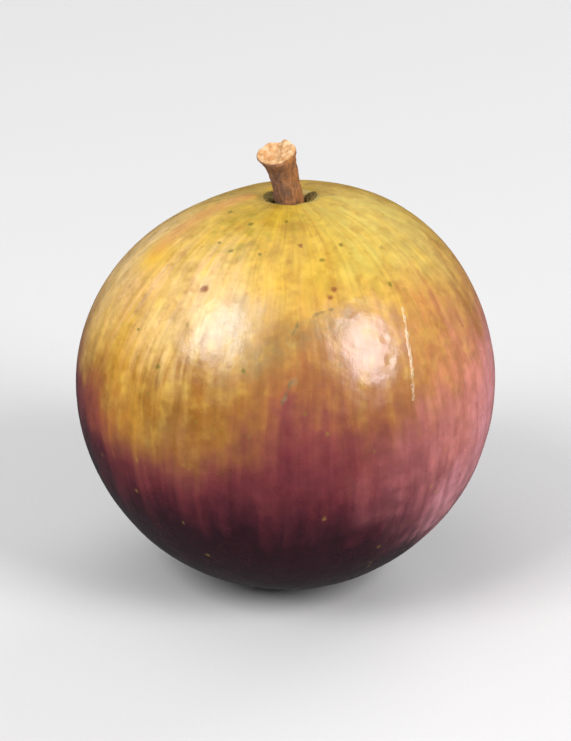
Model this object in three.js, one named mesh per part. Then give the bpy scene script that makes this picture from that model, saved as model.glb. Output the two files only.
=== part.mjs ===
// A whole star apple: the round fruit, its short woody stem and the five dry sepals at the stem's foot.
// Millimetres, +Z up. The origin is on the surface that the fruit rests on, under the middle of its box.
// +Z runs from the blossom end, which the fruit rests on, to the stem. -Y is the front.

import * as THREE from "three";

// The fruit
const FRUIT_RADIUS = 35; // across the middle
const FRUIT_HALF_HEIGHT = 34.7; // centre to blossom end, before the flat spot
const FLAT_SPOT_CUT = 1.3; // how much of the blossom end is pressed flat
const FLAT_SPOT_BLEND = 0.3; // height over which the flat spot turns into the side
const STYLE_SCAR = { depth: 0.5, radius: 1.5 }; // the dimple in the middle of the flat spot
const RIBS = { count: 5, height: 0.22, turn: 0.5 }; // very faint, on the shoulder only

// Places where the flesh stands fuller or flatter than the round: a direction from the centre,
// an amount in millimetres, and a spread that is larger where the place is wider.
const SWELLS = [
  { towards: [-0.5, 0.4, 0.77], amount: -1.75, spread: 0.2 }, // the flatter back left shoulder
  { towards: [0, 0, 1], amount: -1.1, spread: 0.1 }, // flatter round the stem
  { towards: [0.55, 0.1, 0.5], amount: 0.35, spread: 0.2 }, // the fuller right shoulder
  { towards: [-0.8, -0.6, -0.3], amount: -0.4, spread: 0.12 },
  { towards: [0.3, 0.9, -0.4], amount: 0.45, spread: 0.15 },
];

// The hollow that the stem stands in
const STEM_PLACE = { x: 0.8, y: 0 };
const HOLLOW = { depth: 2.5, radius: 3.9, steepness: 3 };

// The stem
const STEM_HEIGHT = 9.1;
const STEM_FOOT_RADIUS = 2.5;
const STEM_WAIST_RADIUS = 2.3;
const STEM_RIM_RADIUS = 3.1; // where the stem spreads to join the twig
const STEM_LEAN = { x: -2.4, y: -0.9 }; // how far the top stands from over the foot
const STEM_END_SLOPE = { x: -0.16, y: -0.3 }; // the torn end falls to the left and the front
const STEM_END_DISH = 0.55; // how far the torn end is hollowed

// The sepals
const SEPAL_COUNT = 5;
const SEPAL_LENGTH = 1.7;
const SEPAL_HALF_ANGLE = 0.53; // radians of the ring round the stem, of the 0.63 that each sepal has
const SEPAL_THICKNESS = 0.5;

const CLEARANCE = 0.3; // between pieces that touch

const FRUIT_ROWS = 44;
const FRUIT_SEGMENTS = 56;
const STEM_SEGMENTS = 22;

const CENTRE_HEIGHT = FRUIT_HALF_HEIGHT - FLAT_SPOT_CUT;

const skin = new THREE.MeshStandardMaterial({ color: 0xb5703f, roughness: 0.3, metalness: 0 });
const bark = new THREE.MeshStandardMaterial({ color: 0x9a6a42, roughness: 0.8, metalness: 0 });
const drySepal = new THREE.MeshStandardMaterial({ color: 0x54402a, roughness: 0.9, metalness: 0 });

// Moves every vertex of a geometry to place(x, y, z), which returns [x, y, z].
function reshape(geometry, place) {
  const position = geometry.getAttribute("position");
  for (let i = 0; i < position.count; i += 1) {
    position.setXYZ(i, ...place(position.getX(i), position.getY(i), position.getZ(i)));
  }
  geometry.computeVertexNormals();
  return geometry;
}

// A lathe with its axis along +Z, from a profile of [radius, height] that starts and ends on the axis.
function turned(profile, segments) {
  const points = profile.map(([radius, height]) => new THREE.Vector2(radius, height));
  return new THREE.LatheGeometry(points, segments).rotateX(Math.PI / 2);
}

// Zero under -blend and the height itself over +blend, with a smooth bend between them.
function pressedFlat(height, blend) {
  if (height <= -blend) return 0;
  if (height >= blend) return height;
  return (height + blend) ** 2 / (4 * blend);
}

// How far the fruit's surface stands from its centre, in a direction.
function fruitReach(direction) {
  const across = Math.hypot(direction.x, direction.y);
  let reach = 1 / Math.hypot(across / FRUIT_RADIUS, direction.z / FRUIT_HALF_HEIGHT);
  for (const { towards, amount, spread } of SWELLS) {
    const closeness = direction.dot(new THREE.Vector3(...towards).normalize());
    reach += amount * Math.exp((closeness - 1) / spread);
  }
  const rib = Math.cos(RIBS.count * (Math.atan2(direction.y, direction.x) - RIBS.turn));
  return reach + RIBS.height * rib * across ** 2 * Math.max(0, direction.z);
}

// A point of the fruit's skin, with the hollow, the flat spot and the style scar in it.
function fruitPoint(x, y, z) {
  const direction = new THREE.Vector3(x, y, z).normalize();
  const point = direction.clone().multiplyScalar(fruitReach(direction));
  if (point.z > 0) {
    const fromStem = Math.hypot(point.x - STEM_PLACE.x, point.y - STEM_PLACE.y);
    point.z -= HOLLOW.depth * Math.exp(-((fromStem / HOLLOW.radius) ** HOLLOW.steepness));
  }
  let height = pressedFlat(point.z + CENTRE_HEIGHT, FLAT_SPOT_BLEND);
  if (point.z < 0) {
    const fromAxis = Math.hypot(point.x, point.y);
    if (fromAxis < 2 * STYLE_SCAR.radius) {
      height += STYLE_SCAR.depth * Math.cos((Math.PI * fromAxis) / (4 * STYLE_SCAR.radius)) ** 2;
    }
  }
  return [point.x, point.y, height];
}

// Half a turn from the stem to the blossom end, in rows that lie closer at both ends.
function fruitGeometry() {
  const profile = [];
  const crowding = 0.72;
  for (let row = 0; row <= FRUIT_ROWS; row += 1) {
    const share = row / FRUIT_ROWS;
    const polar = Math.PI - Math.PI * (share - (crowding * Math.sin(2 * Math.PI * share)) / (2 * Math.PI));
    const atEnd = row === 0 || row === FRUIT_ROWS;
    profile.push([atEnd ? 0 : Math.sin(polar), Math.cos(polar)]);
  }
  return reshape(turned(profile, FRUIT_SEGMENTS), fruitPoint);
}

// The height of the skin near the stem, straight over a point given from the stem's middle.
function skinHeightNearStem(x, y) {
  let height = FRUIT_HALF_HEIGHT;
  for (let pass = 0; pass < 6; pass += 1) {
    const direction = new THREE.Vector3(x + STEM_PLACE.x, y + STEM_PLACE.y, height).normalize();
    height = direction.z * fruitReach(direction);
  }
  const hollow = HOLLOW.depth * Math.exp(-((Math.hypot(x, y) / HOLLOW.radius) ** HOLLOW.steepness));
  return height - hollow + CENTRE_HEIGHT;
}

// The stem: a foot, a waist, a rim and a hollowed end, turned upright and then leaned over.
function stemGeometry() {
  const profile = [
    [0, 0],
    [STEM_FOOT_RADIUS * 0.55, 0],
    [STEM_FOOT_RADIUS, 0.12],
    [STEM_FOOT_RADIUS, 1.2],
    [STEM_WAIST_RADIUS * 1.03, 2.8],
    [STEM_WAIST_RADIUS, 4.6],
    [STEM_WAIST_RADIUS * 1.04, 6.0],
    [STEM_WAIST_RADIUS * 1.16, 7.1],
    [STEM_RIM_RADIUS * 0.97, 8.1],
    [STEM_RIM_RADIUS, 8.7],
    [STEM_RIM_RADIUS * 0.9, STEM_HEIGHT],
    [STEM_RIM_RADIUS * 0.72, STEM_HEIGHT - STEM_END_DISH * 0.45],
    [STEM_RIM_RADIUS * 0.38, STEM_HEIGHT - STEM_END_DISH],
    [0, STEM_HEIGHT - STEM_END_DISH * 0.8],
  ];
  const foot = skinHeightNearStem(STEM_FOOT_RADIUS, 0) + CLEARANCE;
  return reshape(turned(profile, STEM_SEGMENTS), (x, y, z) => {
    const share = z / STEM_HEIGHT;
    const lean = 0.35 * share + 0.65 * share ** 2;
    const slope = share ** 3 * (STEM_END_SLOPE.x * x + STEM_END_SLOPE.y * y) * -1;
    return [
      x + STEM_PLACE.x + STEM_LEAN.x * lean,
      y + STEM_PLACE.y + STEM_LEAN.y * lean,
      z + slope + foot,
    ];
  });
}

// One sepal: a round-ended scale, laid on the side of the hollow with its foot against the stem.
function sepalGeometry(turn) {
  const inner = STEM_FOOT_RADIUS + CLEARANCE;
  const outline = new THREE.Shape();
  outline.moveTo(0, -0.8 * SEPAL_HALF_ANGLE);
  outline.quadraticCurveTo(0.62, -1.25 * SEPAL_HALF_ANGLE, 0.96, -0.3 * SEPAL_HALF_ANGLE);
  outline.quadraticCurveTo(1.04, 0, 0.96, 0.3 * SEPAL_HALF_ANGLE);
  outline.quadraticCurveTo(0.62, 1.25 * SEPAL_HALF_ANGLE, 0, 0.8 * SEPAL_HALF_ANGLE);
  outline.closePath();
  const scale = new THREE.ExtrudeGeometry(outline, {
    depth: 1,
    bevelEnabled: false,
    curveSegments: 7,
  });
  return reshape(scale, (along, across, through) => {
    const radius = inner + along * SEPAL_LENGTH;
    const x = radius * Math.cos(turn + across);
    const y = radius * Math.sin(turn + across);
    const height = skinHeightNearStem(x, y) + CLEARANCE * 1.35 + through * SEPAL_THICKNESS;
    return [x + STEM_PLACE.x, y + STEM_PLACE.y, height];
  });
}

const starApple = new THREE.Group();

function add(name, geometry, material) {
  const mesh = new THREE.Mesh(geometry, material);
  mesh.name = name;
  starApple.add(mesh);
  return mesh;
}

const fruit = add("fruit", fruitGeometry(), skin);
add("stem", stemGeometry(), bark);
for (let i = 0; i < SEPAL_COUNT; i += 1) {
  const turn = (2 * Math.PI * i) / SEPAL_COUNT + 0.2;
  add(`sepal_${i + 1}`, sepalGeometry(turn), drySepal);
}

// The frame's axis is the middle of the fruit's box, so everything moves over together.
const middle = new THREE.Box3().setFromObject(fruit).getCenter(new THREE.Vector3());
for (const mesh of starApple.children) {
  mesh.position.set(-middle.x, -middle.y, 0);
}

export default starApple;
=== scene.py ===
"""A whole star apple: skin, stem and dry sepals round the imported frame. Scene lengths are in metres."""

import math

import bmesh
import bpy
import numpy as np
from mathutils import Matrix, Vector, noise
from mathutils.bvhtree import BVHTree


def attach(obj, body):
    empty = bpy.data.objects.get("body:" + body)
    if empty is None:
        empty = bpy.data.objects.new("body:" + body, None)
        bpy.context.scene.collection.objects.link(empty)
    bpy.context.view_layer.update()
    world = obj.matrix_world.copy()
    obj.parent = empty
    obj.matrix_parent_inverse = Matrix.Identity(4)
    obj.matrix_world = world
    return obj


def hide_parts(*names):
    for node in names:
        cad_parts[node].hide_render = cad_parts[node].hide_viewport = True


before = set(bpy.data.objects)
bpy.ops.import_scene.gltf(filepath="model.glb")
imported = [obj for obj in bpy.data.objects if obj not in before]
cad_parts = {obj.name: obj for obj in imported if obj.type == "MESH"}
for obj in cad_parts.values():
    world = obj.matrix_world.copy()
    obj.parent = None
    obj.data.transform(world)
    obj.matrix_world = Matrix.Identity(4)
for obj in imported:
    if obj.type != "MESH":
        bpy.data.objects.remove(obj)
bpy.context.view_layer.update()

MM = 0.001
FRUIT_RADIUS = 35.0  # the size of the ball that every mark on the skin is placed on, in mm
FRUIT_CENTRE = Vector((0.0, 0.0, 33.4))  # mm
STEM_AXIS = Vector((0.8, 0.0, 0.0))  # mm, where the stem stands

CAMERA_ELEVATION = math.radians(24)
CAMERA_DISTANCE = 0.5
CAMERA_LENS = 146
CAMERA_AIM_ABOVE_CENTRE = 1.67 * MM
LIGHT_DISTANCE = 1.3
WORLD_BELOW = (0.3, 0.31, 0.32)
WORLD_ABOVE = (0.95, 0.97, 1.0)
WORLD_BLEND = 0.12  # where WORLD_ABOVE is reached: 0 is the horizon, 1 is straight up
WORLD_STRENGTH = 0.26
FLOOR_RADIUS = 4
FRUIT_CUTS = 115  # cuts along each edge of the skin's six grids


# ---------------------------------------------------------------- camera, light and floor


def add_camera():
    """Looks along +Y and down on the fruit, from half a metre away."""
    data = bpy.data.cameras.new("camera")
    data.lens = CAMERA_LENS
    data.sensor_width = 36
    data.clip_start, data.clip_end = 0.01, 20
    camera = bpy.data.objects.new("camera", data)
    bpy.context.scene.collection.objects.link(camera)
    s, c = math.sin(CAMERA_ELEVATION), math.cos(CAMERA_ELEVATION)
    up, back = Vector((0, s, c)), Vector((0, -c, s))
    aim = FRUIT_CENTRE * MM + up * CAMERA_AIM_ABOVE_CENTRE
    camera.location = aim + back * CAMERA_DISTANCE
    camera.rotation_euler = (math.pi / 2 - CAMERA_ELEVATION, 0, 0)
    bpy.context.scene.camera = camera


def add_area_light(name, towards, size, radiance, colour=(1, 1, 1), glossy=True):
    """A soft box that faces the fruit's centre.

    radiance is how bright its surface is, and glossy is whether it is mirrored in the fruit.
    """
    data = bpy.data.lights.new(name, "AREA")
    data.shape = "RECTANGLE"
    data.size, data.size_y = size
    data.energy = radiance * math.pi * size[0] * size[1]
    data.color = colour
    light = bpy.data.objects.new(name, data)
    bpy.context.scene.collection.objects.link(light)
    light.visible_camera = False
    light.visible_glossy = glossy
    direction = Vector(towards).normalized()
    light.location = FRUIT_CENTRE * MM + direction * LIGHT_DISTANCE
    light.rotation_euler = direction.to_track_quat("Z", "Y").to_euler()


def add_lights():
    add_area_light("light_left", (-0.58, -0.48, 0.68), (0.6, 0.7), 9.4, colour=(1.0, 0.99, 0.99))
    add_area_light("light_right", (0.67, -0.51, 0.565), (0.52, 0.72), 12.8, colour=(1.0, 0.98, 0.99))
    add_area_light("light_top", (-0.3, 0.1, 1.0), (1.3, 1.1), 1.0)
    add_area_light("light_back", (0.5, 0.75, 0.5), (0.9, 0.6), 4.0, glossy=False)
    world = bpy.data.worlds.new("studio")
    world.use_nodes = True
    nodes, links = world.node_tree.nodes, world.node_tree.links
    height = nodes.new("ShaderNodeSeparateXYZ")
    links.new(nodes.new("ShaderNodeTexCoord").outputs["Generated"], height.inputs[0])
    sky = nodes.new("ShaderNodeValToRGB")
    links.new(height.outputs["Z"], sky.inputs[0])
    below, above = sky.color_ramp.elements
    below.position, below.color = 0.0, (*WORLD_BELOW, 1)
    above.position, above.color = WORLD_BLEND, (*WORLD_ABOVE, 1)
    background = nodes["Background"]
    links.new(sky.outputs["Color"], background.inputs["Color"])
    background.inputs["Strength"].default_value = WORLD_STRENGTH
    bpy.context.scene.world = world
    bpy.context.scene.view_settings.view_transform = "Standard"


def add_floor():
    mesh = bpy.data.meshes.new("floor")
    bm = bmesh.new()
    bmesh.ops.create_circle(bm, cap_ends=True, segments=96, radius=FLOOR_RADIUS)
    bm.to_mesh(mesh)
    bm.free()
    floor = bpy.data.objects.new("floor", mesh)
    bpy.context.scene.collection.objects.link(floor)
    shade = Shade("pale_paper")
    grain = shade.noise(shade.scaled(shade.object_position(), 1 / MM), 1.5, detail=3)
    shade.finish(
        colour=shade.mix(grain, (0.59, 0.59, 0.59), (0.62, 0.62, 0.62)),
        roughness=0.9,
        specular=0.1,
    )
    mesh.materials.append(shade.material)
    floor.visible_glossy = False  # keeps the pale floor's mirror image out of the dark lower skin


# ---------------------------------------------------------------- shader nodes


def linear(red, green, blue):
    """A colour given in 0 to 255 as the shader's own numbers."""
    return tuple(
        c / 12.92 if c <= 0.04045 else ((c + 0.055) / 1.055) ** 2.4
        for c in (red / 255, green / 255, blue / 255)
    )


class Shade:
    """One material. Each call adds a node and gives back its output; arguments are outputs or numbers."""

    def __init__(self, name):
        self.material = bpy.data.materials.new(name)
        self.material.use_nodes = True
        self.tree = self.material.node_tree
        self.tree.nodes.clear()

    def node(self, kind, **settings):
        made = self.tree.nodes.new("ShaderNode" + kind)
        for key, value in settings.items():
            setattr(made, key, value)
        return made

    def put(self, socket, value):
        if isinstance(value, bpy.types.NodeSocket):
            self.tree.links.new(value, socket)
        elif socket.type == "RGBA":
            socket.default_value = (*value, 1)
        else:
            socket.default_value = value

    def object_position(self):
        return self.node("TexCoord").outputs["Object"]

    def math(self, operation, *values, clamp=False):
        made = self.node("Math", operation=operation, use_clamp=clamp)
        for socket, value in zip(made.inputs, values):
            self.put(socket, value)
        return made.outputs[0]

    def vector(self, operation, *values):
        made = self.node("VectorMath", operation=operation)
        for socket, value in zip(made.inputs, values):
            self.put(socket, value)
        numeric = operation in ("DOT_PRODUCT", "DISTANCE", "LENGTH")
        return made.outputs["Value" if numeric else "Vector"]

    def scaled(self, vector, factor):
        made = self.node("VectorMath", operation="SCALE")
        self.put(made.inputs[0], vector)
        self.put(made.inputs["Scale"], factor)
        return made.outputs["Vector"]

    def height_of(self, vector):
        made = self.node("SeparateXYZ")
        self.put(made.inputs[0], vector)
        return made.outputs["Z"]

    def noise(self, where, scale, detail=2.0, roughness=0.5, distortion=0.0, colour=False):
        made = self.node("TexNoise")
        self.put(made.inputs["Vector"], where)
        self.put(made.inputs["Scale"], scale)
        self.put(made.inputs["Detail"], detail)
        self.put(made.inputs["Roughness"], roughness)
        self.put(made.inputs["Distortion"], distortion)
        return made.outputs["Color" if colour else "Factor" if "Factor" in made.outputs else "Fac"]

    def smooth(self, value, low, high, bottom=0.0, top=1.0):
        """bottom at low and top at high, with a smooth step between them; low may be the larger."""
        made = self.node("MapRange", interpolation_type="SMOOTHSTEP", clamp=True)
        for name, number in (
            ("Value", value),
            ("From Min", low),
            ("From Max", high),
            ("To Min", bottom),
            ("To Max", top),
        ):
            self.put(made.inputs[name], number)
        return made.outputs[0]

    def mix(self, factor, first, second, blend="MIX"):
        made = self.node("Mix", data_type="RGBA", blend_type=blend, clamp_factor=True)
        self.put(made.inputs["Factor"], factor)
        self.put(made.inputs[6], first)
        self.put(made.inputs[7], second)
        return made.outputs[2]

    def ramp(self, value, stops):
        made = self.node("ValToRGB")
        self.put(made.inputs[0], value)
        elements = made.color_ramp.elements
        while len(elements) < len(stops):
            elements.new(0.5)
        for element, (position, colour) in zip(elements, stops):
            element.position = position
            element.color = (*colour, 1)
        return made.outputs["Color"]

    def bump(self, height, distance, strength=1.0, normal=None):
        made = self.node("Bump")
        self.put(made.inputs["Height"], height)
        self.put(made.inputs["Distance"], distance)
        self.put(made.inputs["Strength"], strength)
        if normal is not None:
            self.put(made.inputs["Normal"], normal)
        return made.outputs["Normal"]

    def finish(
        self, colour, roughness, specular=0.5, normal=None, coat=0.0, coat_roughness=0.2, soft=0.0
    ):
        """Puts what was made into the surface shader.

        soft is the weight of the light that goes under the skin.
        """
        surface = self.node("BsdfPrincipled")
        self.put(surface.inputs["Base Color"], colour)
        self.put(surface.inputs["Roughness"], roughness)
        surface.inputs["Specular IOR Level"].default_value = specular
        if normal is not None:
            self.put(surface.inputs["Normal"], normal)
        if coat:
            surface.inputs["Coat Weight"].default_value = coat
            surface.inputs["Coat Roughness"].default_value = coat_roughness
            if normal is not None:
                self.put(surface.inputs["Coat Normal"], normal)
        if soft:
            surface.inputs["Subsurface Weight"].default_value = soft
            surface.inputs["Subsurface Radius"].default_value = (1.0, 0.45, 0.25)
            surface.inputs["Subsurface Scale"].default_value = 1.6 * MM
        output = self.node("OutputMaterial")
        self.tree.links.new(surface.outputs[0], output.inputs[0])


class SkinShade(Shade):
    """A material with the fruit's own measures: places on the ball, and lines from stem to blossom end."""

    def __init__(self, name):
        super().__init__(name)
        millimetres = self.scaled(self.object_position(), 1 / MM)
        from_centre = self.vector("SUBTRACT", millimetres, FRUIT_CENTRE)
        self.ball = self.scaled(self.vector("NORMALIZE", from_centre), FRUIT_RADIUS)
        wobble = self.noise(self.ball, 0.06, detail=2, colour=True)
        wobble = self.scaled(self.vector("SUBTRACT", wobble, (0.5, 0.5, 0.5)), 3.0)
        swayed = self.vector("ADD", self.vector("SUBTRACT", self.ball, STEM_AXIS), wobble)
        self.turn = self.vector("NORMALIZE", self.vector("MULTIPLY", swayed, (1, 1, 0)))
        self.height = self.math("DIVIDE", self.height_of(self.ball), FRUIT_RADIUS)
        ragged = self.noise(self.ball, 1.1, detail=2, colour=True)
        ragged = self.scaled(self.vector("SUBTRACT", ragged, (0.5, 0.5, 0.5)), 0.8)
        self.ragged_ball = self.vector("ADD", self.ball, ragged)
        loose = self.noise(self.ball, 0.11, detail=3, colour=True)
        loose = self.scaled(self.vector("SUBTRACT", loose, (0.5, 0.5, 0.5)), 13.0)
        self.loose_ball = self.vector("ADD", self.ball, loose)
        drawn = self.math("MULTIPLY", self.math("SUBTRACT", self.streaks(13, 0.9, 5.0), 0.5), 9.0)
        along = self.node("CombineXYZ")
        self.put(along.inputs["Z"], drawn)
        self.loose_ball = self.vector("ADD", self.loose_ball, along.outputs[0])

    def streaks(self, around, along, seed, detail=2.0):
        """Noise drawn out from the stem to the blossom end.

        More around makes thinner streaks, and more along shorter ones.
        """
        made = self.node("CombineXYZ")
        self.put(made.inputs["Z"], self.math("MULTIPLY_ADD", self.height, along, seed))
        where = self.vector("ADD", self.scaled(self.turn, around), made.outputs[0])
        return self.noise(where, 1.0, detail=detail, roughness=0.55)

    def blotches(self, size, seed, detail=2.0):
        """Noise with features of about that size in mm."""
        where = self.vector("ADD", self.ball, (seed, 2.7 * seed, 5.1 * seed))
        return self.noise(where, 1 / size, detail=detail, roughness=0.55)

    def patch(self, turn, rise, radius, core=0.0):
        """1 at a place on the skin, falling to 0 at radius. It is 1 out to core. Lengths are in mm."""
        far = self.vector("DISTANCE", self.ball, on_ball(turn, rise))
        return self.smooth(far, radius, core)

    def loose_patch(self, turn, rise, radius, core=0.0):
        """A patch whose edge wanders and runs out into streaks."""
        far = self.vector("DISTANCE", self.loose_ball, on_ball(turn, rise))
        return self.smooth(far, radius, core)

    def spot(self, turn, rise, radius):
        """A small ragged mark."""
        far = self.vector("DISTANCE", self.ragged_ball, on_ball(turn, rise))
        return self.smooth(far, 1.4 * radius, 0.35 * radius)

    def loose_stroke(self, places, width, soft):
        """A stroke whose edge wanders and runs out into streaks."""
        return self.stroke(places, width, soft, here=self.loose_ball)

    def stroke(self, places, width, soft=1.6, here=None):
        """A ragged line through places on the skin, width mm across, fading out over soft times its width."""
        here = here or self.ragged_ball
        nearest = None
        points = [on_ball(*place) for place in places]
        for start, end in zip(points, points[1:]):
            along = end - start
            offset = self.vector("SUBTRACT", here, start)
            share = self.math(
                "DIVIDE", self.vector("DOT_PRODUCT", offset, along), along.length_squared, clamp=True
            )
            foot = self.scaled(tuple(along), share)
            far = self.vector("DISTANCE", offset, foot)
            nearest = far if nearest is None else self.math("MINIMUM", nearest, far)
        return self.smooth(nearest, soft * width / 2, 0.4 * width / 2)

    def all_of(self, factors):
        """The largest of several factors."""
        total = factors[0]
        for factor in factors[1:]:
            total = self.math("MAXIMUM", total, factor)
        return total


def on_ball(turn, rise):
    """A place on the skin, in mm from the fruit's centre.

    turn is in degrees from the front, to the right. rise is in degrees from the middle, up.
    """
    t, r = math.radians(turn), math.radians(rise)
    return Vector((math.sin(t) * math.cos(r), -math.cos(t) * math.cos(r), math.sin(r))) * FRUIT_RADIUS


# ---------------------------------------------------------------- the skin's material

# From the gold skin round the stem to the ripest round the blossom end. The darkest colours, low on the
# fruit, are partly the skin's own dark wine and partly painted shade
RIPENESS_AND_SHADE_COLOURS = [
    (0.0, linear(200, 160, 52)),
    (0.2, linear(204, 158, 70)),
    (0.35, linear(172, 122, 62)),
    (0.5, linear(150, 92, 50)),
    (0.62, linear(126, 62, 54)),
    (0.75, linear(110, 43, 48)),
    (0.88, linear(80, 26, 37)),
    (1.0, linear(48, 16, 27)),
]
# Where the skin is riper (+) or greener (-) than its height says: turn, rise, radius in mm, amount
RIPENESS_PATCHES = [
    (-43, 20, 23, -0.26),
    (-80, -5, 18, 0.14),
    (-66, 24, 16, -0.16),
    (-30, -2, 14, -0.08),
    (28, 62, 20, -0.06),
    (2, 31, 15, 0.1),
    (0, 12, 21, 0.08),
    (108, -12, 26, -0.2),
    (150, 26, 24, 0.2),
    (172, -22, 26, -0.2),
    (-158, 24, 20, -0.16),
    (-135, 4, 22, 0.14),
    (-118, -30, 24, -0.16),
    (72, -42, 20, -0.1),
]
# The places that the painted sheen down the right side runs through, a pale mauve painted reflection of light
# from the right: turn, rise
RIGHT_EDGE_SHEEN = [(86, 12), (78, 0), (69, -15), (57, -25)]
# Where the skin has a hue of its own, and a few painted highlights and painted sheens marked below: turn,
# rise, radius and core in mm, colour, strength
TINTS_AND_PAINTED_SHEENS = [
    (-52, 46, 27, 9, linear(244, 202, 98), 0.85),
    (-62, 30, 16, 2, linear(228, 172, 62), 0.5),
    (-66, 40, 10, 1, linear(226, 170, 60), 0.5),
    (-14, 78, 15, 3, linear(180, 146, 26), 0.7),
    (64, 62, 20, 6, linear(206, 188, 92), 0.7),
    (52, 30, 15, 4, linear(198, 130, 72), 0.75),
    # partly pinker skin, partly painted sheen of light from the right
    (66, 3, 22, 4, linear(212, 136, 120), 0.85),
    (-8, 36, 10, 2, linear(140, 98, 46), 0.6),
    (-4, 62, 13, 2, linear(206, 164, 36), 0.5),
    (92, 12, 26, 2, linear(196, 118, 92), 0.6),
    (74, -14, 20, 1, linear(150, 74, 74), 0.55),
    (39, -5, 15, 2, linear(172, 100, 102), 0.55),
    (48, -22, 14, 2, linear(146, 78, 86), 0.5),
    # painted sheen: a broad pale cream painted sheen round the left highlight
    (-30, 38, 15, 3, linear(226, 200, 156), 0.6),
    (150, 40, 20, 2, linear(188, 128, 66), 0.6),
    (-150, 46, 24, 3, linear(216, 184, 92), 0.6),
    (-120, 18, 20, 2, linear(206, 146, 70), 0.5),
    # painted highlight: greyish white colour under the left highlight
    (-24, 37, 8, 3, linear(186, 166, 128), 0.6),
    # painted highlight: pinkish white colour under the right highlight
    (25, 32, 8.5, 3, linear(188, 138, 120), 0.6),
    (-20, 14, 13, 3, linear(150, 104, 30), 0.6),
    (-50, 15, 15, 2, linear(206, 140, 16), 0.65),
    (-22, 58, 12, 2, linear(206, 160, 22), 0.6),
    (-42, 40, 12, 3, linear(252, 212, 132), 0.65),
    (-98, 40, 24, 4, linear(246, 212, 156), 0.6),
    (70, 34, 8, 1, linear(156, 110, 48), 0.5),
    (-62, 7, 10, 2, linear(150, 72, 48), 0.55),
]
# Small round marks: turn, rise, radius in mm
BROWN_SPOTS = [(-32, 46, 0.72), (19, 47.5, 0.55), (16.6, 45.3, 0.55), (8.6, 62.3, 0.45)]
GREEN_SPOTS = [
    (17.8, 56.9, 0.45),
    (31.4, 60.7, 0.4),
    (42.4, 45.3, 0.45),
    (-29.1, 70.1, 0.5),
    (-29.0, 58.9, 0.45),
    (-38.8, 60.7, 0.4),
    (-13.2, 59.0, 0.4),
    (-61.4, 72.3, 0.5),
    (1.0, 72.6, 0.4),
    (-51.1, 30.0, 0.3),
    (-38.7, 23.1, 0.4),
    (-12, 26, 0.45),
]
# Lines on the skin, from place to place: turn, rise
SCRATCH = [(42.6, 38.4), (39.5, 29.4), (38.3, 23.0), (36.7, 14.8)]
SCUFF = [(-10, 27.5), (-1, 33.5), (10, 37.5), (20, 39.5)]
CRACKS = [[(1.2, 34.5), (4.3, 39), (10.4, 41), (16.5, 42)], [(1.6, 24), (-1, 18)]]
CREASE = [(-97, 78), (-79, 66), (-72, 51)]


def ripeness(skin):
    """0 for gold skin, 1 for dark wine skin; the darkest wine, low on the fruit, is partly painted shade."""
    ripe = skin.math("MULTIPLY_ADD", skin.height, -0.78, 0.68)
    for turn, rise, radius, amount in RIPENESS_PATCHES:
        ripe = skin.math("MULTIPLY_ADD", skin.loose_patch(turn, rise, radius), amount, ripe)
    # the change from gold to wine is broken up by streaks, most of all halfway down
    for factor, strength in (
        (skin.streaks(5, 0.8, 3.1), 0.22),
        (skin.streaks(15, 1.6, 11.4), 0.2),
        (skin.streaks(40, 2.6, 23.2), 0.08),
        (skin.blotches(9, 7.7), 0.2),
        (skin.blotches(2.6, 1.9, detail=4), 0.14),
    ):
        centred = skin.math("SUBTRACT", factor, 0.5)
        ripe = skin.math("MULTIPLY_ADD", centred, strength, ripe)
    return skin.math("ADD", ripe, 0.0, clamp=True)


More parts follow.
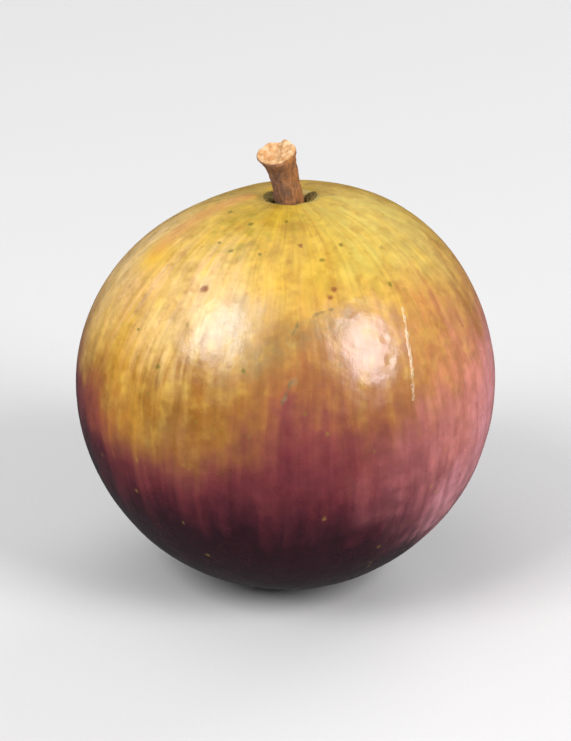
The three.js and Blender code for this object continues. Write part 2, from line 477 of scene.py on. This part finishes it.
def skin_colour(skin):
    ripe = ripeness(skin)
    golden = skin.smooth(ripe, 0.62, 0.3)
    # the darkest of these colours, on the underside, are partly painted shade
    colour = skin.ramp(ripe, RIPENESS_AND_SHADE_COLOURS)
    broken = skin.math("ADD", skin.streaks(18, 1.8, 61.0), skin.blotches(3.0, 12.2))
    broken = skin.smooth(broken, 0.75, 1.25, bottom=0.55, top=1.15)
    # some of these tints are painted highlights and painted sheens, marked in the list
    for turn, rise, radius, core, hue, strength in TINTS_AND_PAINTED_SHEENS:
        here = skin.math("MULTIPLY", skin.loose_patch(turn, rise, radius, core), strength)
        colour = skin.mix(skin.math("MULTIPLY", here, broken), colour, hue)

    # painted sheen: a pale mauve painted reflection of light from the right, down the right edge
    right_edge_sheen = skin.math("MULTIPLY", skin.loose_stroke(RIGHT_EDGE_SHEEN, 9.0, soft=2.6), 0.75)
    colour = skin.mix(skin.math("MULTIPLY", right_edge_sheen, broken), colour, linear(206, 138, 146))

    # olive green mottling round the stem and down the front left
    olive = skin.all_of([skin.patch(-28, 66, 15), skin.patch(0, 90, 9, 3)])
    mottled = skin.smooth(skin.blotches(2.4, 4.4), 0.42, 0.68)
    colour = skin.mix(
        skin.math("MULTIPLY", olive, skin.math("MULTIPLY_ADD", mottled, 0.5, 0.14)),
        colour,
        linear(146, 136, 18),
    )
    # a thin pale edge round the hollow of the stem
    level = skin.vector("MULTIPLY", skin.vector("SUBTRACT", skin.ball, STEM_AXIS), (1, 1, 0))
    edge = skin.math("ABSOLUTE", skin.math("SUBTRACT", skin.vector("LENGTH", level), 4.5))
    edge = skin.math("MULTIPLY", skin.smooth(edge, 0.7, 0.1), skin.smooth(skin.height, 0.5, 0.8))
    colour = skin.mix(skin.math("MULTIPLY", edge, 0.6), colour, linear(232, 214, 140))
    # peach streaks on the left
    peach = skin.smooth(skin.streaks(20, 2.2, 31.0), 0.42, 0.62)
    peach = skin.math("MULTIPLY", skin.patch(-48, 42, 20), peach)
    colour = skin.mix(skin.math("MULTIPLY", peach, 0.6), colour, linear(240, 196, 150))
    # soft brown lines and blotches on the gold skin, with stronger lines low on the left
    low_left = skin.patch(-28, 16, 15, 4)
    low_left = skin.math("MULTIPLY", skin.smooth(skin.streaks(17, 2.2, 47.0), 0.42, 0.62), low_left)
    for lines, strength in (
        (skin.smooth(skin.streaks(14, 3.0, 41.0), 0.45, 0.8), 0.3),
        (skin.smooth(skin.blotches(4.5, 37.0, detail=3), 0.48, 0.72), 0.34),
        (low_left, 0.75),
        (skin.smooth(skin.streaks(42, 9.0, 71.0), 0.42, 0.85), 0.14),
    ):
        factor = skin.math("MULTIPLY", skin.math("MULTIPLY", lines, golden), strength)
        colour = skin.mix(factor, colour, linear(146, 86, 18))
    # mottling two or three millimetres across
    for fleck, hue, strength in (
        (skin.smooth(skin.blotches(2.6, 81.0), 0.42, 0.82), linear(242, 204, 88), 0.3),
        (skin.smooth(skin.blotches(1.6, 93.0), 0.5, 0.8), linear(158, 104, 20), 0.36),
    ):
        factor = skin.math("MULTIPLY", skin.math("MULTIPLY", fleck, golden), strength)
        colour = skin.mix(factor, colour, hue)
    light_and_dark = skin.math("ADD", skin.blotches(2.2, 55.0, detail=4), skin.streaks(24, 3.6, 87.0))
    brightness = skin.smooth(light_and_dark, 0.6, 1.4, bottom=0.84, top=1.14)
    brightness = skin.math("MULTIPLY", brightness, skin.smooth(ripe, 0.7, 0.3, bottom=1.05, top=0.9))
    colour = skin.scaled(colour, brightness)
    # clear yellow where the skin is thin
    colour = skin.mix(skin.math("MULTIPLY", skin.patch(-69, 48.6, 6), 0.75), colour, linear(240, 190, 12))
    # an orange crease over the back left shoulder
    crease = skin.stroke(CREASE, 3.0, soft=2.2, here=skin.ball)
    colour = skin.mix(skin.math("MULTIPLY", crease, 0.42), colour, linear(206, 128, 72))
    return skin_marks(skin, colour)


def skin_marks(skin, colour):
    """Dots, scuffs and the scratch, on top of the ripening colours."""
    cells = skin.node("TexVoronoi", feature="F1")
    skin.put(cells.inputs["Vector"], skin.ragged_ball)
    skin.put(cells.inputs["Scale"], 0.22)
    skin.put(cells.inputs["Randomness"], 1.0)
    pores = skin.smooth(cells.outputs["Distance"], 0.13, 0.02)
    on_wine = skin.smooth(skin.height, 0.35, -0.1)
    colour = skin.mix(
        skin.math("MULTIPLY", pores, 0.45),
        colour,
        skin.mix(on_wine, linear(120, 104, 36), linear(168, 132, 56)),
    )
    scuff = skin.stroke(SCUFF, 2.6, soft=2.4)
    scuff = skin.math("MULTIPLY", scuff, skin.smooth(skin.blotches(1.3, 9.3), 0.3, 0.7, bottom=0.15))
    colour = skin.mix(skin.math("MULTIPLY", scuff, 0.55), colour, linear(140, 118, 76))
    cracks = skin.all_of([skin.stroke(places, 0.45) for places in CRACKS])
    cracks = skin.math("MULTIPLY", cracks, skin.smooth(skin.blotches(1.4, 5.6), 0.42, 0.6))
    colour = skin.mix(skin.math("MULTIPLY", cracks, 0.6), colour, linear(104, 96, 62))
    grey = skin.all_of([skin.spot(2.3, 23.9, 0.7), skin.spot(-0.2, 19.3, 0.45)])
    colour = skin.mix(skin.math("MULTIPLY", grey, 0.4), colour, linear(136, 118, 86))
    green = skin.all_of([skin.spot(*place) for place in GREEN_SPOTS])
    colour = skin.mix(skin.math("MULTIPLY", green, 0.75), colour, linear(96, 92, 12))
    brown = skin.all_of([skin.spot(*place) for place in BROWN_SPOTS])
    colour = skin.mix(skin.math("MULTIPLY", brown, 0.8), colour, linear(122, 60, 28))
    broken = skin.smooth(skin.blotches(1.1, 3.7), 0.3, 0.6, bottom=0.3)
    scratch = skin.math("MULTIPLY", skin.stroke(SCRATCH, 0.4), broken)
    return skin.mix(skin.math("MULTIPLY", scratch, 0.8), colour, linear(206, 186, 150))


def skin_material():
    skin = SkinShade("star_apple_skin")
    colour = skin_colour(skin)
    grain = skin.blotches(0.7, 15.0, detail=3)
    threads = skin.streaks(60, 5.0, 51.0, detail=2)
    dents = skin.blotches(2.8, 21.0, detail=1)
    pits = skin.all_of([skin.patch(31.7, 32.0, 1.1), skin.patch(31.6, 26.3, 1.3), skin.patch(-32, 46, 1.2)])
    height = skin.math("MULTIPLY", grain, 0.3)
    height = skin.math("MULTIPLY_ADD", threads, 0.14, height)
    height = skin.math("MULTIPLY_ADD", dents, 1.3, height)
    height = skin.math("MULTIPLY_ADD", pits, -0.8, height)
    height = skin.math("MULTIPLY_ADD", skin.stroke(SCRATCH, 0.55), 0.5, height)
    normal = skin.bump(height, 0.1 * MM)
    roughness = skin.smooth(skin.blotches(5, 33.0), 0.3, 0.7, bottom=0.26, top=0.34)
    skin.finish(colour, roughness, normal=normal, coat=0.28, coat_roughness=0.2, soft=0.06)
    return skin.material


# ---------------------------------------------------------------- stem and sepals: materials


def bark_material():
    bark = Shade("stem_bark")
    here = bark.scaled(bark.object_position(), 1 / MM)
    drawn_out = bark.vector("MULTIPLY", here, (1.0, 1.0, 0.22))
    fibres = bark.noise(drawn_out, 2.4, detail=4, roughness=0.6)
    patches = bark.noise(here, 0.55, detail=2)
    colour = bark.ramp(
        fibres,
        [
            (0.25, linear(92, 60, 38)),
            (0.45, linear(142, 94, 56)),
            (0.6, linear(176, 116, 62)),
            (0.8, linear(198, 142, 84)),
        ],
    )
    colour = bark.mix(bark.smooth(patches, 0.45, 0.7, top=0.5), colour, linear(102, 80, 70))
    # greyer bark on the stem's left: partly its own colour, partly painted shade
    side = bark.node("Attribute", attribute_name="side").outputs["Fac"]
    colour = bark.mix(bark.math("MULTIPLY", side, 0.55), colour, linear(112, 88, 80))
    torn = bark.node("Attribute", attribute_name="torn").outputs["Fac"]
    core = bark.node("Attribute", attribute_name="core").outputs["Fac"]
    wood_grain = bark.noise(here, 1.3, detail=3)
    wood = bark.ramp(
        wood_grain,
        [(0.3, linear(188, 136, 86)), (0.5, linear(214, 168, 118)), (0.7, linear(232, 202, 162))],
    )
    # painted shade: darker orange wood in the pit of the torn end
    wood = bark.mix(bark.math("MULTIPLY", core, 0.6), wood, linear(186, 122, 56))
    colour = bark.mix(torn, colour, wood)
    height = bark.math("MULTIPLY_ADD", fibres, 1.0, bark.math("MULTIPLY", wood_grain, 0.25))
    bark.finish(colour, 0.72, specular=0.3, normal=bark.bump(height, 0.35 * MM))
    return bark.material


def sepal_material():
    dry = Shade("dry_sepal")
    here = dry.scaled(dry.object_position(), 1 / MM)
    grain = dry.noise(here, 2.2, detail=3)
    colour = dry.ramp(
        grain, [(0.3, linear(70, 60, 30)), (0.5, linear(108, 92, 48)), (0.72, linear(150, 128, 72))]
    )
    dry.finish(colour, 0.85, specular=0.2, normal=dry.bump(grain, 0.25 * MM))
    return dry.material


# ---------------------------------------------------------------- meshes


def vertex_array(mesh):
    co = np.empty(len(mesh.vertices) * 3, np.float64)
    mesh.vertices.foreach_get("co", co)
    return co.reshape(-1, 3)


def set_vertices(mesh, co):
    mesh.vertices.foreach_set("co", np.ascontiguousarray(co, np.float32).ravel())
    mesh.update()


def paint(mesh, name, values):
    """Stores a number from 0 to 1 at each vertex, for the material to read."""
    layer = mesh.attributes.new(name, "FLOAT", "POINT")
    layer.data.foreach_set("value", np.clip(values, 0, 1).astype(np.float32))


def noise_at(co_mm, size, seed):
    """Smooth noise from -1 to 1 at each row of co_mm, with features of about that size in mm."""
    offset = Vector((seed, 1.7 * seed, 3.3 * seed))
    return np.array([noise.noise(Vector(p) / size + offset) for p in co_mm])


def smooth_copy(node, levels, name):
    """A new object: the CAD node's own shape with its triangles paired up and rounded off."""
    bm = bmesh.new()
    bm.from_mesh(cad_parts[node].data)
    bmesh.ops.remove_doubles(bm, verts=bm.verts, dist=0.001 * MM)
    bmesh.ops.join_triangles(
        bm, faces=bm.faces, angle_face_threshold=math.radians(60), angle_shape_threshold=math.pi
    )
    mesh = bpy.data.meshes.new(name)
    bm.to_mesh(mesh)
    bm.free()
    made = bpy.data.objects.new(name, mesh)
    bpy.context.scene.collection.objects.link(made)
    rounding = made.modifiers.new("rounding", "SUBSURF")
    rounding.levels = rounding.render_levels = levels
    graph = bpy.context.evaluated_depsgraph_get()
    rounded = bpy.data.meshes.new_from_object(made.evaluated_get(graph))
    made.modifiers.clear()
    made.data = rounded
    rounded.name = name
    bpy.data.meshes.remove(mesh)
    shade_smooth(rounded)
    return made


def shade_smooth(mesh):
    mesh.polygons.foreach_set("use_smooth", np.ones(len(mesh.polygons), bool))
    mesh.update()


def ball_grid(cuts, crowding):
    """A ball of unit radius made of six square grids. Vertices lie closer together towards +Z."""
    bm = bmesh.new()
    bmesh.ops.create_cube(bm, size=2)
    bmesh.ops.subdivide_edges(bm, edges=bm.edges, cuts=cuts, use_grid_fill=True)
    for vertex in bm.verts:
        even = Vector(math.tan(c * math.pi / 4) for c in vertex.co)
        direction = even.normalized()
        vertex.co = (direction + Vector((0, 0, crowding))).normalized()
    mesh = bpy.data.meshes.new("fruit_skin")
    bm.to_mesh(mesh)
    bm.free()
    return mesh


def build_fruit():
    """The skin: a fine even mesh laid on the CAD fruit, with the small unevenness of a grown thing."""
    rounded = smooth_copy("fruit", 3, "rounded_fruit")
    tree = BVHTree.FromPolygons(
        [v.co for v in rounded.data.vertices], [p.vertices for p in rounded.data.polygons]
    )
    mesh = ball_grid(cuts=FRUIT_CUTS, crowding=0.3)
    centre = FRUIT_CENTRE * MM
    directions = vertex_array(mesh)
    reach = np.array([tree.ray_cast(centre, Vector(d))[3] for d in directions])
    bpy.data.objects.remove(rounded)

    ball = directions * FRUIT_RADIUS
    off_axis = ball[:, :2] - np.array(STEM_AXIS[:2])
    distance = np.linalg.norm(off_axis, axis=1)
    turn = off_axis / np.maximum(distance, 1e-6)[:, None]
    streak_place = np.column_stack([turn * 9, ball[:, 2] / FRUIT_RADIUS * 1.2])
    swell = 0.16 * noise_at(ball, 17, 2.0) + 0.05 * noise_at(ball, 6, 9.0)
    ridges = 0.045 * noise_at(streak_place, 1.0, 5.0)
    folds = 0.22 * noise_at(np.column_stack([turn * 3.2, 0 * distance]), 1.0, 12.0)
    front = np.clip(0.35 - turn[:, 1], 0, 1)  # the hollow has a fuller lip at the front
    lip = 0.5 * front * np.exp(-(((distance - 4.7) / 1.2) ** 2)) * (ball[:, 2] > 0)
    near_stem = np.exp(-((distance / 7.5) ** 2)) * (ball[:, 2] > 0)
    calm = 1 - np.exp(-((ball[:, 2] / FRUIT_RADIUS + 1) / 0.06) ** 2)  # the flat spot stays flat
    reach += (swell * calm + ridges * (0.4 + near_stem) * calm + folds * near_stem + lip) * MM
    set_vertices(mesh, directions * reach[:, None] + np.array(centre))
    shade_smooth(mesh)
    fruit = bpy.data.objects.new("fruit_skin", mesh)
    bpy.context.scene.collection.objects.link(fruit)
    mesh.materials.append(skin_material())
    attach(fruit, "root")
    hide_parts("fruit")


def build_stem():
    """The stem: the CAD stem with bark ridges, a ragged rim and a torn, hollowed end."""
    stem = smooth_copy("stem", 3, "stem_bark")
    mesh = stem.data
    co = vertex_array(mesh) / MM
    normals = np.empty(len(mesh.vertices) * 3, np.float32)
    mesh.vertices.foreach_get("normal", normals)
    normals = normals.reshape(-1, 3)
    low, high = co.min(0), co.max(0)
    share = (co[:, 2] - low[2]) / (high[2] - low[2])
    lengthwise = co * np.array([1, 1, 0.16])
    bark = 0.16 * noise_at(lengthwise, 0.9, 3.0) + 0.1 * noise_at(co, 0.6, 8.0)
    lumps = 0.2 * noise_at(co, 2.2, 14.0)
    upward = np.clip((normals[:, 2] - 0.45) / 0.3, 0, 1) * (share > 0.75)
    rim = np.exp(-(((share - 0.93) / 0.06) ** 2)) * (1 - upward)
    ragged = 0.32 * noise_at(co, 0.9, 21.0)
    move = (bark + lumps) * (1 - 0.6 * upward) + ragged * (upward + rim)
    foot_x, top_x = co[share < 0.2, 0].mean(), co[share > 0.85, 0].mean()
    face = co[upward > 0.5]
    middle = face.mean(0)
    pit = middle + (-0.9, -0.2, 0)
    # the torn end: a pit left of its middle, and a step where it broke on the right
    move -= upward * 0.7 * np.exp(-(np.linalg.norm((co - pit)[:, :2], axis=1) / 0.8) ** 2)
    move += upward * 0.45 * np.clip((co[:, 0] - middle[0] - 0.9) / 0.25, 0, 1)
    co += normals * move[:, None]
    set_vertices(mesh, co * MM)
    edge = 0.25 * noise_at(co, 0.8, 30.0)
    paint(mesh, "torn", upward * 1.3 + edge * (upward > 0.02))
    # painted shade: darker orange wood in the pit of the torn end
    paint(mesh, "core", upward * np.exp(-((np.linalg.norm((co - pit) / (1.0, 1.3, 9.0), axis=1)) ** 2)))
    # the bark is greyer on the left of the stem and browner on the right: partly the bark's own colour,
    # partly painted shade on the stem's left
    lean = np.interp(share, [0, 1], [foot_x, top_x])
    paint(mesh, "side", 0.5 - (co[:, 0] - lean) / 3.2)
    mesh.materials.clear()
    mesh.materials.append(bark_material())
    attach(stem, "root")
    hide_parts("stem")


def build_sepals():
    """Five dry scales at the stem's foot, curled and wrinkled."""
    material = sepal_material()
    for i in range(1, 6):
        node = f"sepal_{i}"
        sepal = smooth_copy(node, 2, f"dry_{node}")
        mesh = sepal.data
        co = vertex_array(mesh) / MM
        wrinkles = 0.12 * noise_at(co, 0.7, 4.0 + i)
        outward = np.linalg.norm(co[:, :2] - np.array(STEM_AXIS[:2]), axis=1)
        curl = 0.25 * np.clip((outward - outward.min()) / np.ptp(outward), 0, 1) ** 2
        co[:, 2] += wrinkles + curl * noise_at(co, 1.5, 9.0 + i) - 0.4
        set_vertices(mesh, co * MM)
        mesh.materials.clear()
        mesh.materials.append(material)
        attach(sepal, "root")
        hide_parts(node)


add_camera()
add_lights()
add_floor()
build_fruit()
build_stem()
build_sepals()
